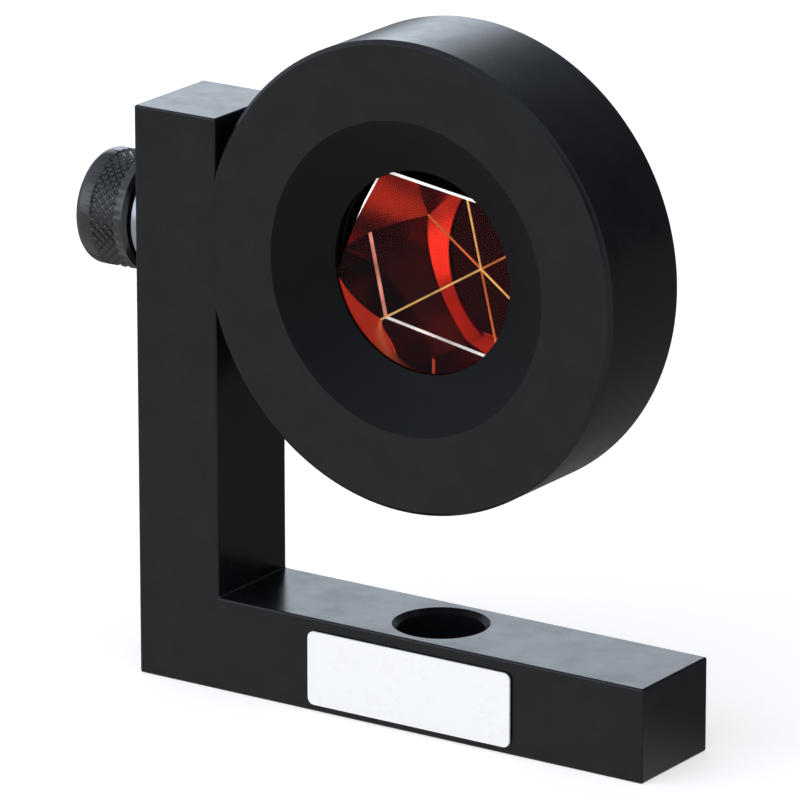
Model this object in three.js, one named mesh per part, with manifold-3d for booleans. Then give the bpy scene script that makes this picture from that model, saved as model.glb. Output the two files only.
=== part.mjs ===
// Survey prism: a corner-cube reflector in a round housing that tilts on an L-shaped bar.
// Millimetres, +Z up, the bar's long leg along +X, the prism looking towards -Y.
// The model stands on z = 0, with the origin under the middle of its bounding box.

import * as THREE from "three";
import { mergeVertices } from "three/addons/utils/BufferGeometryUtils.js";
import Module from "manifold-3d";

const wasm = await Module();
wasm.setup();

// ---------------------------------------------------------------- driving dimensions

const GAP = 0.3; // running gap between neighbouring pieces

// L-shaped bar
const BAR_DEPTH = 14.5;
const BAR_LENGTH = 73.3;
const BAR_HEIGHT = 72.5;
const UPRIGHT_WIDTH = 12;
const BASE_THICKNESS = 11.9;
const BAR_CHAMFER = 0.3;
const BOLT_HOLE_R = 5.35;
const BOLT_HOLE_X = 39.9;
const BOLT_HOLE_CHAMFER = 0.65;

// tilt axis, along X
const PIVOT_Y = BAR_DEPTH / 2;
const PIVOT_Z = 57;

// round housing, revolved about Y, with a flat towards the upright; depths count from its front face
const HOUSING_X = BOLT_HOLE_X;
const HOUSING_R = 29.05;
const HOUSING_DEPTH = 15;
const HOUSING_PROUD = 0.7; // front face ahead of the bar's front face
const HOUSING_CHAMFER = 0.5;
const HOUSING_FLAT_X = UPRIGHT_WIDTH + GAP;
const RECESS_R = 19.35;
const WINDOW_R = 12.5;
const RECESS_DEPTH = 3.7;
const LIP_LAND = 0.2;
const LIP_STEP = 0.8;
const CELL_R = 14.9;
const SEAL_GROOVE_INNER_R = 15.6;
const SEAL_GROOVE_OUTER_R = 17;
const SEAL_GROOVE_DEPTH = 0.9;

// corner-cube prism, 1 inch across
const GLASS_R = 12.7;
const GLASS_FRONT = RECESS_DEPTH + 2 * LIP_LAND;
const GLASS_RIM = 1.6;
const GLASS_APEX = GLASS_FRONT + GLASS_RIM + GLASS_R * Math.SQRT2;
const COATING_INNER_OFFSET = 0.15;
const COATING_OUTER_OFFSET = 0.45;
const PAD_WIDTH = 6;
const PAD_INNER_R = 2;
const PAD_DEPTH = 6;

// the corner leans and its apex is off centre: rotation vector in degrees, and the apex's place
const CORNER_LEAN = [-4.9, -3.2, 5.7];
const CORNER_APEX = [0.74, GLASS_APEX, -2.17];

// one pad behind each back face: direction from the centre in degrees, and where it starts
const PADS = [[269.5, 15.5], [157.7, 9.6], [32.2, 9.6]];

// sealing rings: radius of the ring's middle line, its depth, radius of its section
const GLASS_SEAL = [13.95, 5.4, 0.6];
const REAR_SEAL = [16.3, HOUSING_DEPTH - 0.4, 0.4];

// rear cup
const CUP_WALL_R = GLASS_R + GAP;
const CUP_SLEEVE_R = CELL_R - GAP;
const CUP_CAN_R = 15.5;
const CUP_FLANGE_R = 20.6;
const CUP_FLANGE_THICKNESS = 2;
const CUP_FLANGE_CHAMFER = 0.4;
const CUP_END_WALL = 1.4;
const CUP_ROUNDING = 2;
const CUP_SLEEVE_START = 6.1;
const CUP_FLANGE_START = HOUSING_DEPTH + GAP;
const CUP_END = 26;
const CUP_INSIDE_END = CUP_END - CUP_END_WALL;
const CUP_SCREW_COUNT = 4;
const CUP_SCREW_CIRCLE_R = 18.2;
const SCREW_HEAD_R = 1.75;
const SCREW_HEAD_HEIGHT = 1.3;
const SCREW_SHANK_R = 0.95;
const SCREW_LENGTH = 5;
const SCREW_HEAD_CHAMFER = 0.3;
const SCREW_SOCKET_R = 0.85;
const SCREW_SOCKET_DEPTH = 0.8;
const COUNTERBORE_DEPTH = 0.9;

// clamp: knob, screw, washers, bush and threaded insert, all about the tilt axis
const KNOB_R = 7.25;
const KNOB_OUTER_END = -9.4;
const KNOB_INNER_END = -1.65;
const KNOB_ROUNDING = 1.1;
const KNOB_CHAMFER = 0.5;
const KNOB_FLOOR = 1.2;
const KNOB_CAP_R = 3.6;
const KNOB_CAP_DEPTH = 0.2;
const KNOB_CAP_CONE = 0.5;
const KNOB_CAP_THICKNESS = 1.1;
const THREAD_R = 2.5;
const THREAD_DEPTH = 0.4;
const THREAD_PITCH = 0.8;
const THREAD_START = 13;
const THREAD_END = 20.6;
const CLAMP_HEAD_R = 4.25;
const CLAMP_HEAD_DEPTH = 1.6;
const CLAMP_SOCKET_R = 2;
const CLAMP_SOCKET_DEPTH = 2;
const WASHER_R = 6.6;
const WASHER_START = -1.2;
const BUSH_START = 0.2;
const BUSH_R = 4;
const BUSH_BORE_R = THREAD_R + GAP;
const BUSH_FLANGE_R = 5.3;
const BUSH_FLANGE_THICKNESS = 0.8;
const SPOT_FACE_X = 13.5;
const SPOT_FACE_R = 5.9;
const FRICTION_WASHER_R = 5.4;
const FRICTION_WASHER_START = UPRIGHT_WIDTH + 0.1;
const INSERT_R = 3.7;
const INSERT_START = SPOT_FACE_X + GAP;
const INSERT_LENGTH = 8;
const INSERT_LEAD = 0.4;
const SET_SCREW_X = 18;
const SET_SCREW_R = 1.25;
const SET_SCREW_DEPTH = 0.3;
const SET_SCREW_SOCKET_R = 0.75;
const SET_SCREW_SOCKET_DEPTH = 1.2;

// label on the base's front face
const LABEL_LEFT = 25.5;
const LABEL_BOTTOM = 1;
const LABEL_WIDTH = 29.3;
const LABEL_HEIGHT = 9.4;
const LABEL_THICKNESS = 0.3;
const LABEL_GAP = 0.2;
const LABEL_CORNER_R = 0.9;

// facets around each size of round
const FINE = 72;
const MEDIUM = 40;
const SMALL = 18;

// how far a cutter runs past the face it opens
const PAST = 1;

// ---------------------------------------------------------------- solids

// A manifold solid from a closed three.js geometry.
function toSolid(geometry) {
  const bare = geometry.clone();
  bare.deleteAttribute("normal");
  bare.deleteAttribute("uv");
  const merged = mergeVertices(bare);
  const position = merged.getAttribute("position");
  const triangles = [];
  for (let i = 0; i < merged.index.count; i += 3) {
    const [a, b, c] = [0, 1, 2].map((k) => merged.index.getX(i + k));
    if (a !== b && b !== c && c !== a) triangles.push([a, b, c]);
  }
  if (signedVolume(position, triangles) < 0) triangles.forEach((triangle) => triangle.reverse());
  const mesh = new wasm.Mesh({
    numProp: 3,
    vertProperties: new Float32Array(position.array),
    triVerts: new Uint32Array(triangles.flat()),
  });
  return new wasm.Manifold(mesh);
}

function signedVolume(position, triangles) {
  const corner = [new THREE.Vector3(), new THREE.Vector3(), new THREE.Vector3()];
  let six = 0;
  for (const triangle of triangles) {
    triangle.forEach((vertex, k) => corner[k].fromBufferAttribute(position, vertex));
    six += corner[0].dot(corner[1].clone().cross(corner[2]));
  }
  return six / 6;
}

// A three.js geometry from a manifold solid.
function toGeometry(solid) {
  const mesh = solid.getMesh();
  const geometry = new THREE.BufferGeometry();
  geometry.setAttribute("position", new THREE.BufferAttribute(mesh.vertProperties, 3));
  geometry.setIndex(new THREE.BufferAttribute(mesh.triVerts, 1));
  geometry.computeVertexNormals();
  return geometry;
}

// The profile lists [radius, height] pairs about the Y axis.
function revolve(profile, segments) {
  const points = profile.map(([radius, height]) => new THREE.Vector2(radius, height));
  return new THREE.LatheGeometry(points, segments);
}

// A ring's profile closes on itself.
function ring(profile, segments) {
  return revolve([...profile, profile[0]], segments);
}

function cylinder(radius, from, to, segments) {
  return revolve([[0, from], [radius, from], [radius, to], [0, to]], segments);
}

function tube(innerRadius, outerRadius, from, to, segments) {
  const profile = [[innerRadius, from], [outerRadius, from], [outerRadius, to], [innerRadius, to]];
  return ring(profile, segments);
}

// Turns a solid of revolution from the Y axis onto the tilt axis or the vertical.
const alongX = (geometry) => geometry.rotateZ(-Math.PI / 2);
const alongZ = (geometry) => geometry.rotateX(Math.PI / 2);

// Points of a quarter round between two directions, about a centre.
function arc(centreRadius, centreHeight, radius, fromAngle, toAngle, steps) {
  const points = [];
  for (let i = 0; i <= steps; i += 1) {
    const angle = THREE.MathUtils.lerp(fromAngle, toAngle, i / steps);
    points.push([centreRadius + radius * Math.cos(angle), centreHeight + radius * Math.sin(angle)]);
  }
  return points;
}

// A thread drawn as ridges one pitch apart, along a stretch of a profile.
function ridges(crestRadius, rootRadius, from, to) {
  const points = [];
  const count = Math.floor((to - from) / THREAD_PITCH);
  for (let i = 0; i < count; i += 1) {
    const start = from + i * THREAD_PITCH;
    points.push([rootRadius, start]);
    points.push([crestRadius, start + THREAD_PITCH / 2]);
  }
  points.push([rootRadius, from + count * THREAD_PITCH]);
  return points;
}

// ---------------------------------------------------------------- materials

const blackAnodised = { color: 0x26282c, roughness: 0.45, metalness: 0.6 };
const mattBlack = { color: 0x1a1b1e, roughness: 0.8, metalness: 0.2 };
const steel = { color: 0x9a9ca0, roughness: 0.35, metalness: 1 };
const blackRubber = { color: 0x151515, roughness: 0.9, metalness: 0 };

const model = new THREE.Group();
const housing = new THREE.Group();
const pivot = new THREE.Group();
model.add(housing, pivot);
housing.position.set(HOUSING_X, -HOUSING_PROUD, PIVOT_Z);
pivot.position.set(0, PIVOT_Y, PIVOT_Z);

function addPiece(group, name, geometry, finish) {
  const mesh = new THREE.Mesh(geometry, new THREE.MeshStandardMaterial(finish));
  mesh.name = name;
  group.add(mesh);
  return mesh;
}

// The tilt axis in the housing group's own coordinates.
const PIVOT_IN_HOUSING = new THREE.Vector3(-HOUSING_X, PIVOT_Y + HOUSING_PROUD, 0);

// ---------------------------------------------------------------- L-shaped bar

function makeBar() {
  const outline = new THREE.Shape([
    new THREE.Vector2(0, 0),
    new THREE.Vector2(BAR_LENGTH, 0),
    new THREE.Vector2(BAR_LENGTH, BASE_THICKNESS),
    new THREE.Vector2(UPRIGHT_WIDTH, BASE_THICKNESS),
    new THREE.Vector2(UPRIGHT_WIDTH, BAR_HEIGHT),
    new THREE.Vector2(0, BAR_HEIGHT),
  ]);
  const plate = new THREE.ExtrudeGeometry(outline, {
    depth: BAR_DEPTH - 2 * BAR_CHAMFER,
    bevelEnabled: true,
    bevelThickness: BAR_CHAMFER,
    bevelSize: BAR_CHAMFER,
    bevelOffset: -BAR_CHAMFER,
    bevelSegments: 1,
  });
  plate.rotateX(Math.PI / 2).translate(0, BAR_DEPTH - BAR_CHAMFER, 0);
  return toGeometry(toSolid(plate).subtract(toSolid(boltHole())).subtract(toSolid(bushSeat())));
}

// The bolt hole runs past both faces of the base, with a chamfer at each mouth.
function boltHole() {
  const wide = BOLT_HOLE_R + BOLT_HOLE_CHAMFER + PAST;
  const cutter = revolve([
    [0, -PAST],
    [wide, -PAST],
    [BOLT_HOLE_R, BOLT_HOLE_CHAMFER],
    [BOLT_HOLE_R, BASE_THICKNESS - BOLT_HOLE_CHAMFER],
    [wide, BASE_THICKNESS + PAST],
    [0, BASE_THICKNESS + PAST],
  ], MEDIUM);
  return alongZ(cutter).translate(BOLT_HOLE_X, BAR_DEPTH / 2, 0);
}

// Stepped bore for the flanged bush, through the upright.
function bushSeat() {
  const bore = BUSH_R + GAP;
  const counterbore = BUSH_FLANGE_R + GAP;
  const step = UPRIGHT_WIDTH - BUSH_FLANGE_THICKNESS - 2 * GAP;
  const cutter = revolve([
    [0, -PAST],
    [bore, -PAST],
    [bore, step],
    [counterbore, step],
    [counterbore, UPRIGHT_WIDTH + PAST],
    [0, UPRIGHT_WIDTH + PAST],
  ], SMALL);
  return alongX(cutter).translate(0, PIVOT_Y, PIVOT_Z);
}

addPiece(model, "l_bracket", makeBar(), blackAnodised);

// ---------------------------------------------------------------- label

function makeLabel() {
  const outline = new THREE.Shape();
  const r = LABEL_CORNER_R;
  const quarter = Math.PI / 2;
  outline.absarc(LABEL_WIDTH - r, r, r, -quarter, 0);
  outline.absarc(LABEL_WIDTH - r, LABEL_HEIGHT - r, r, 0, quarter);
  outline.absarc(r, LABEL_HEIGHT - r, r, quarter, 2 * quarter);
  outline.absarc(r, r, r, 2 * quarter, 3 * quarter);
  const options = { depth: LABEL_THICKNESS, bevelEnabled: false, curveSegments: 5 };
  const plate = new THREE.ExtrudeGeometry(outline, options);
  plate.rotateX(Math.PI / 2).translate(LABEL_LEFT, -LABEL_GAP, LABEL_BOTTOM);
  return toGeometry(toSolid(plate));
}

addPiece(model, "label_plate", makeLabel(), { color: 0xeff1f4, roughness: 0.4, metalness: 0 });

// ---------------------------------------------------------------- clamp, about the tilt axis

function makeKnob() {
  const pocket = CLAMP_HEAD_R + GAP;
  const floor = KNOB_INNER_END - KNOB_FLOOR;
  const profile = [
    [pocket, KNOB_OUTER_END],
    ...arc(KNOB_R - KNOB_ROUNDING, KNOB_OUTER_END + KNOB_ROUNDING, KNOB_ROUNDING, -Math.PI / 2, 0, 4),
    [KNOB_R, KNOB_INNER_END - KNOB_CHAMFER],
    [KNOB_R - KNOB_CHAMFER, KNOB_INNER_END],
    [THREAD_R + GAP, KNOB_INNER_END],
    [THREAD_R + GAP, floor],
    [pocket, floor],
  ];
  return toGeometry(toSolid(alongX(ring(profile, MEDIUM))));
}

// Low-head clamp screw, with a hexagon socket in its head and a ridged thread.
function makeClampScrew() {
  const headStart = KNOB_OUTER_END + CLAMP_HEAD_DEPTH;
  const headEnd = KNOB_INNER_END - KNOB_FLOOR - GAP;
  const profile = [
    [0, headStart],
    [CLAMP_HEAD_R, headStart],
    [CLAMP_HEAD_R, headEnd],
    [THREAD_R, headEnd],
    [THREAD_R, THREAD_START],
    ...ridges(THREAD_R, THREAD_R - THREAD_DEPTH, THREAD_START, THREAD_END),
    [0, THREAD_END],
  ];
  const socketEnd = headStart + CLAMP_SOCKET_DEPTH;
  const socket = alongX(cylinder(CLAMP_SOCKET_R, headStart - PAST, socketEnd, 6));
  return toGeometry(toSolid(alongX(revolve(profile, SMALL))).subtract(toSolid(socket)));
}

function makeKnobCap() {
  const from = KNOB_OUTER_END + KNOB_CAP_DEPTH;
  const profile = [
    [0, from],
    [KNOB_CAP_R, from],
    [CLAMP_HEAD_R, from + KNOB_CAP_CONE],
    [CLAMP_HEAD_R, from + KNOB_CAP_THICKNESS],
    [0, from + KNOB_CAP_THICKNESS],
  ];
  return toGeometry(toSolid(alongX(revolve(profile, MEDIUM))));
}

function makeThrustWasher() {
  return toGeometry(toSolid(alongX(tube(THREAD_R + GAP, WASHER_R, WASHER_START, -GAP, MEDIUM))));
}

function makeBush() {
  const flangeEnd = UPRIGHT_WIDTH - GAP;
  const flangeStart = flangeEnd - BUSH_FLANGE_THICKNESS;
  const profile = [
    [BUSH_BORE_R, BUSH_START],
    [BUSH_R, BUSH_START],
    [BUSH_R, flangeStart],
    [BUSH_FLANGE_R, flangeStart],
    [BUSH_FLANGE_R, flangeEnd],
    [BUSH_BORE_R, flangeEnd],
  ];
  return toGeometry(toSolid(alongX(ring(profile, SMALL))));
}

function makeFrictionWasher() {
  const end = SPOT_FACE_X - GAP;
  const washer = tube(BUSH_BORE_R, FRICTION_WASHER_R, FRICTION_WASHER_START, end, SMALL);
  return toGeometry(toSolid(alongX(washer)));
}

function makeThreadInsert() {
  const end = INSERT_START + INSERT_LENGTH;
  const threadStart = INSERT_START + INSERT_LEAD;
  const bore = ridges(BUSH_BORE_R + THREAD_DEPTH, BUSH_BORE_R, threadStart, end - INSERT_LEAD);
  const profile = [
    [BUSH_BORE_R, end],
    [INSERT_R, end],
    [INSERT_R, INSERT_START],
    [BUSH_BORE_R, INSERT_START],
    ...bore,
  ];
  return toGeometry(toSolid(alongX(ring(profile, SMALL))));
}

addPiece(pivot, "clamp_knob", makeKnob(), blackAnodised);
addPiece(pivot, "clamp_screw", makeClampScrew(), steel);
addPiece(pivot, "knob_cap", makeKnobCap(), mattBlack);
addPiece(pivot, "thrust_washer", makeThrustWasher(), blackAnodised);
addPiece(pivot, "pivot_bush", makeBush(), { color: 0xd8d4c6, roughness: 0.6, metalness: 0 });
addPiece(pivot, "friction_washer", makeFrictionWasher(), { color: 0x2b2b2b, roughness: 0.8, metalness: 0 });
addPiece(pivot, "thread_insert", makeThreadInsert(), steel);

// Grub screw that locks the insert, reached from the housing's back face.
function makeSetScrew() {
  const from = PIVOT_IN_HOUSING.y + INSERT_R + GAP;
  const to = HOUSING_DEPTH - SET_SCREW_DEPTH;
  const body = toSolid(cylinder(SET_SCREW_R, from, to, SMALL));
  const socket = toSolid(cylinder(SET_SCREW_SOCKET_R, to - SET_SCREW_SOCKET_DEPTH, to + PAST, 6));
  return toGeometry(body.subtract(socket).translate(SET_SCREW_X - HOUSING_X, 0, 0));
}

addPiece(housing, "insert_set_screw", makeSetScrew(), { color: 0x303236, roughness: 0.4, metalness: 0.9 });

// ---------------------------------------------------------------- round housing

function makeHousing() {
  const c = HOUSING_CHAMFER;
  const sealGrooveFloor = HOUSING_DEPTH - SEAL_GROOVE_DEPTH;
  const lip = RECESS_DEPTH + LIP_LAND;
  const profile = [
    [RECESS_R, 0],
    [HOUSING_R - c, 0],
    [HOUSING_R, c],
    [HOUSING_R, HOUSING_DEPTH - c],
    [HOUSING_R - c, HOUSING_DEPTH],
    [SEAL_GROOVE_OUTER_R, HOUSING_DEPTH],
    [SEAL_GROOVE_OUTER_R, sealGrooveFloor],
    [SEAL_GROOVE_INNER_R, sealGrooveFloor],
    [SEAL_GROOVE_INNER_R, HOUSING_DEPTH],
    [CELL_R, HOUSING_DEPTH],
    [CELL_R, lip + LIP_STEP],
    [CUP_WALL_R, lip + LIP_STEP],
    [CUP_WALL_R, lip],
    [WINDOW_R, lip],
    [WINDOW_R, RECESS_DEPTH],
  ];
  const back = HOUSING_DEPTH + PAST;
  const lock = toSolid(cylinder(SET_SCREW_R + GAP, PIVOT_IN_HOUSING.y, back, SMALL));
  let body = toSolid(ring(profile, FINE))
    .subtract(toSolid(sideCut()))
    .subtract(toSolid(insertBore()))
    .subtract(lock.translate(SET_SCREW_X - HOUSING_X, 0, 0));
  for (const [x, z] of cupScrewPlaces()) {
    const from = HOUSING_DEPTH + PAST - SCREW_LENGTH;
    const tapped = toSolid(cylinder(SCREW_SHANK_R + GAP, from, back, SMALL));
    body = body.subtract(tapped.translate(x, 0, z));
  }
  return toGeometry(body);
}

// What is milled off the round housing for the flat beside the upright.
function sideCut() {
  const side = 2 * HOUSING_R;
  const cutter = new THREE.BoxGeometry(side, side, side);
  return cutter.translate(HOUSING_FLAT_X - HOUSING_X - side / 2, HOUSING_DEPTH / 2, 0);
}

// Spot face for the friction washer and blind bore for the threaded insert.
function insertBore() {
  const profile = [
    [0, HOUSING_FLAT_X - PAST],
    [SPOT_FACE_R, HOUSING_FLAT_X - PAST],
    [SPOT_FACE_R, SPOT_FACE_X],
    [INSERT_R + GAP, SPOT_FACE_X],
    [INSERT_R + GAP, INSERT_START + INSERT_LENGTH + GAP],
    [0, INSERT_START + INSERT_LENGTH + GAP],
  ];
  const cutter = alongX(revolve(profile, SMALL));
  return cutter.translate(PIVOT_IN_HOUSING.x, PIVOT_IN_HOUSING.y, PIVOT_IN_HOUSING.z);
}

function cupScrewPlaces() {
  const places = [];
  for (let i = 0; i < CUP_SCREW_COUNT; i += 1) {
    const angle = ((i + 0.5) / CUP_SCREW_COUNT) * 2 * Math.PI;
    places.push([CUP_SCREW_CIRCLE_R * Math.cos(angle), CUP_SCREW_CIRCLE_R * Math.sin(angle)]);
  }
  return places;
}

addPiece(housing, "prism_housing", makeHousing(), blackAnodised);

// ---------------------------------------------------------------- prism and what holds it

// Solid trihedral corner with square edges, its faces moved out by the clearance.
function cubeCorner(clearance = 0) {
  const height = 40;
  const lean = new THREE.Vector3(...CORNER_LEAN).multiplyScalar(Math.PI / 180);
  const turn = new THREE.Quaternion().setFromAxisAngle(lean.clone().normalize(), lean.length());
  return new THREE.ConeGeometry(height * Math.SQRT2, height, 3)
    .translate(0, clearance * Math.sqrt(3) - height / 2, 0)
    .applyQuaternion(turn)
    .translate(...CORNER_APEX);
}

function makeGlass() {
  const blank = toSolid(cylinder(GLASS_R, GLASS_FRONT, GLASS_APEX + PAST, MEDIUM));
  return toGeometry(blank.intersect(toSolid(cubeCorner())));
}

// The reflective coat over the three back faces, as one thin shell.
function makeCoating() {
  const outside = toSolid(cubeCorner(COATING_OUTER_OFFSET));
  const inside = toSolid(cubeCorner(COATING_INNER_OFFSET));
  const from = GLASS_FRONT + GLASS_RIM + PAST;
  const room = toSolid(cylinder(GLASS_R, from, GLASS_APEX + 2 * PAST, MEDIUM));
  return toGeometry(room.intersect(outside).subtract(inside));
}

// Wedge-shaped rubber pad between one coated face and the cup's wall.
function makePad([direction, start]) {
  const outer = GLASS_R - GAP;
  const block = new THREE.BoxGeometry(outer - PAD_INNER_R, PAD_DEPTH, PAD_WIDTH)
    .translate((outer + PAD_INNER_R) / 2, start + PAD_DEPTH / 2, 0)
    .rotateY((-direction * Math.PI) / 180);
  const corner = cubeCorner(COATING_OUTER_OFFSET + GAP);
  return toGeometry(toSolid(block).subtract(toSolid(corner)));
}

function makeRearCup() {
  const flangeEnd = CUP_FLANGE_START + CUP_FLANGE_THICKNESS;
  const r = CUP_ROUNDING;
  const profile = [
    [CUP_WALL_R, CUP_SLEEVE_START],
    [CUP_SLEEVE_R, CUP_SLEEVE_START],
    [CUP_SLEEVE_R, CUP_FLANGE_START],
    [CUP_FLANGE_R, CUP_FLANGE_START],
    [CUP_FLANGE_R, flangeEnd - CUP_FLANGE_CHAMFER],
    [CUP_FLANGE_R - CUP_FLANGE_CHAMFER, flangeEnd],
    [CUP_CAN_R, flangeEnd],
    ...arc(CUP_CAN_R - r, CUP_END - r, r, 0, Math.PI / 2, 4),
    [0, CUP_END],
    [0, CUP_INSIDE_END],
    [CUP_WALL_R, CUP_INSIDE_END],
    [CUP_WALL_R, CUP_SLEEVE_START],
  ];
  let cup = toSolid(revolve(profile, MEDIUM));
  for (const [x, z] of cupScrewPlaces()) {
    const hole = toSolid(screwHole(flangeEnd));
    cup = cup.subtract(hole.translate(x, 0, z));
  }
  return toGeometry(cup);
}

// Clearance hole through the flange, counterbored for the screw's head.
function screwHole(flangeEnd) {
  const headFloor = flangeEnd - COUNTERBORE_DEPTH;
  return revolve([
    [0, CUP_FLANGE_START - PAST],
    [SCREW_SHANK_R + GAP, CUP_FLANGE_START - PAST],
    [SCREW_SHANK_R + GAP, headFloor],
    [SCREW_HEAD_R + GAP, headFloor],
    [SCREW_HEAD_R + GAP, flangeEnd + PAST],
    [0, flangeEnd + PAST],
  ], SMALL);
}

function makeCupScrew() {
  const headFloor = CUP_FLANGE_START + CUP_FLANGE_THICKNESS - COUNTERBORE_DEPTH;
  const headStart = headFloor + GAP;
  const headEnd = headStart + SCREW_HEAD_HEIGHT;
  const profile = [
    [0, headStart - SCREW_LENGTH],
    [SCREW_SHANK_R, headStart - SCREW_LENGTH],
    [SCREW_SHANK_R, headStart],
    [SCREW_HEAD_R, headStart],
    [SCREW_HEAD_R, headEnd - SCREW_HEAD_CHAMFER],
    [SCREW_HEAD_R - SCREW_HEAD_CHAMFER, headEnd],
    [0, headEnd],
  ];
  const socketFloor = headEnd - SCREW_SOCKET_DEPTH;
  const socket = toSolid(cylinder(SCREW_SOCKET_R, socketFloor, headEnd + PAST, 6));
  return toGeometry(toSolid(revolve(profile, SMALL)).subtract(socket));
}

// Round-section sealing ring.
function makeSeal([middleRadius, depth, sectionRadius]) {
  const sides = 6;
  const lastAngle = 2 * Math.PI * (1 - 1 / sides);
  const section = arc(middleRadius, depth, sectionRadius, 0, lastAngle, sides - 1);
  return toGeometry(toSolid(ring(section, MEDIUM)));
}

addPiece(housing, "glass_seal", makeSeal(GLASS_SEAL), blackRubber);
addPiece(housing, "glass_prism", makeGlass(), { color: 0xb4401c, roughness: 0.05, metalness: 0 });
addPiece(housing, "copper_coating", makeCoating(), { color: 0xb8683c, roughness: 0.25, metalness: 1 });
PADS.forEach((pad, i) => {
  addPiece(housing, `prism_pad_${i + 1}`, makePad(pad), blackRubber);
});
addPiece(housing, "rear_seal", makeSeal(REAR_SEAL), blackRubber);
addPiece(housing, "rear_cup", makeRearCup(), blackAnodised);
cupScrewPlaces().forEach(([x, z], i) => {
  const screw = addPiece(housing, `cup_screw_${i + 1}`, makeCupScrew(), steel);
  screw.position.set(x, 0, z);
});

// ---------------------------------------------------------------- origin

model.updateMatrixWorld(true);
const box = new THREE.Box3().setFromObject(model, true);
const centre = box.getCenter(new THREE.Vector3());
model.position.set(-centre.x, -centre.y, 0);

export default model;
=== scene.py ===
"""Looks of the survey prism: an L-shaped bar, a round housing that tilts on it, and a corner cube."""
import math

import bmesh
import bpy
from mathutils import Matrix, Quaternion, Vector


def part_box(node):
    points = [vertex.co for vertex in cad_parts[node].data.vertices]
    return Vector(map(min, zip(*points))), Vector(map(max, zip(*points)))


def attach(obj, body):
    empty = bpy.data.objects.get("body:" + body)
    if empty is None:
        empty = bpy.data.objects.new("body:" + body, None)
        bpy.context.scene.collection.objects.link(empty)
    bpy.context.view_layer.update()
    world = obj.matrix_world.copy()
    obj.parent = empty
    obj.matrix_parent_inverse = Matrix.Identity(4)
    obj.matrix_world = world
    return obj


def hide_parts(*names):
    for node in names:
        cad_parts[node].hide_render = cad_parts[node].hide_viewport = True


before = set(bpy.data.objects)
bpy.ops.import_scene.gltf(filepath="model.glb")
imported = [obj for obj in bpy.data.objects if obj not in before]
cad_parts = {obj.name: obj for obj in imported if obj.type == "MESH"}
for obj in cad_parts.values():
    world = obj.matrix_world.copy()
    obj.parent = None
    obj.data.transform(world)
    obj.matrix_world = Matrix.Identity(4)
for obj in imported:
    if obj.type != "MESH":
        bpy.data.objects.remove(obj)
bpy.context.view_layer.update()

MM = 0.001
GAP = 0.3 * MM
PAST = 1 * MM  # how far a cutter runs on beyond the face that it cuts

# ---------------------------------------------------------------- places, read from the frame

BAR_LOW, BAR_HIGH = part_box("l_bracket")
HOUSING_LOW, HOUSING_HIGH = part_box("prism_housing")
INSERT_LOW, INSERT_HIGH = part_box("thread_insert")
KNOB_LOW, KNOB_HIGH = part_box("clamp_knob")

HOUSING_R = (HOUSING_HIGH.z - HOUSING_LOW.z) / 2
HOUSING_DEPTH = HOUSING_HIGH.y - HOUSING_LOW.y
HOUSING_FRONT = Vector((HOUSING_HIGH.x - HOUSING_R, HOUSING_LOW.y, HOUSING_LOW.z + HOUSING_R))
HOUSING_BACK = Vector((HOUSING_FRONT.x, HOUSING_HIGH.y, HOUSING_FRONT.z))
PIVOT = Vector((BAR_LOW.x, (INSERT_LOW.y + INSERT_HIGH.y) / 2, HOUSING_FRONT.z))
CUP_SCREWS = [f"cup_screw_{k + 1}" for k in range(4)]

UPRIGHT_WIDTH = 12 * MM
BASE_THICKNESS = 11.9 * MM
EDGE_ROUNDING = 0.28 * MM


# ---------------------------------------------------------------- mesh tools

def new_object(name, mesh):
    obj = bpy.data.objects.new(name, mesh)
    bpy.context.scene.collection.objects.link(obj)
    return obj


def built(name, build):
    """Makes an object of what bmesh has built."""
    mesh = bpy.data.meshes.new(name)
    build.to_mesh(mesh)
    build.free()
    return new_object(name, mesh)


def smooth(obj, sharp_angle=32):
    """Smooth shading that keeps flat faces flat and hard edges hard."""
    mesh = obj.data
    mesh.polygons.foreach_set("use_smooth", [True] * len(mesh.polygons))
    mesh.set_sharp_from_angle(angle=math.radians(sharp_angle))
    weighted = obj.modifiers.new("flat_faces", "WEIGHTED_NORMAL")
    weighted.keep_sharp = True
    weighted.weight = 100
    return obj


def apply_modifiers(obj):
    graph = bpy.context.evaluated_depsgraph_get()
    mesh = bpy.data.meshes.new_from_object(obj.evaluated_get(graph))
    obj.modifiers.clear()
    obj.data = mesh
    return obj


def rounded(profile, radii, steps=5):
    """The profile with its corners filleted: radii gives a radius for each corner's index."""
    points = []
    count = len(profile)
    for i, corner in enumerate(profile):
        radius = radii.get(i, 0)
        if not radius:
            points.append(tuple(corner))
            continue
        here = Vector(corner)
        before = (Vector(profile[i - 1]) - here).normalized()
        after = (Vector(profile[(i + 1) % count]) - here).normalized()
        half = before.angle(after) / 2
        reach = radius / math.tan(half)
        centre = here + (before + after).normalized() * (radius / math.sin(half))
        start = here + before * reach - centre
        end = here + after * reach - centre
        sweep = start.angle(end)
        for k in range(steps + 1):
            t = k / steps
            spoke = (start * math.sin((1 - t) * sweep) + end * math.sin(t * sweep)) / math.sin(sweep)
            points.append(tuple(centre + spoke))
    return points


AXES = {
    "x": (Vector((1, 0, 0)), Vector((0, 1, 0)), Vector((0, 0, 1))),
    "y": (Vector((0, 1, 0)), Vector((0, 0, 1)), Vector((1, 0, 0))),
    "z": (Vector((0, 0, 1)), Vector((1, 0, 0)), Vector((0, 1, 0))),
}


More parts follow.
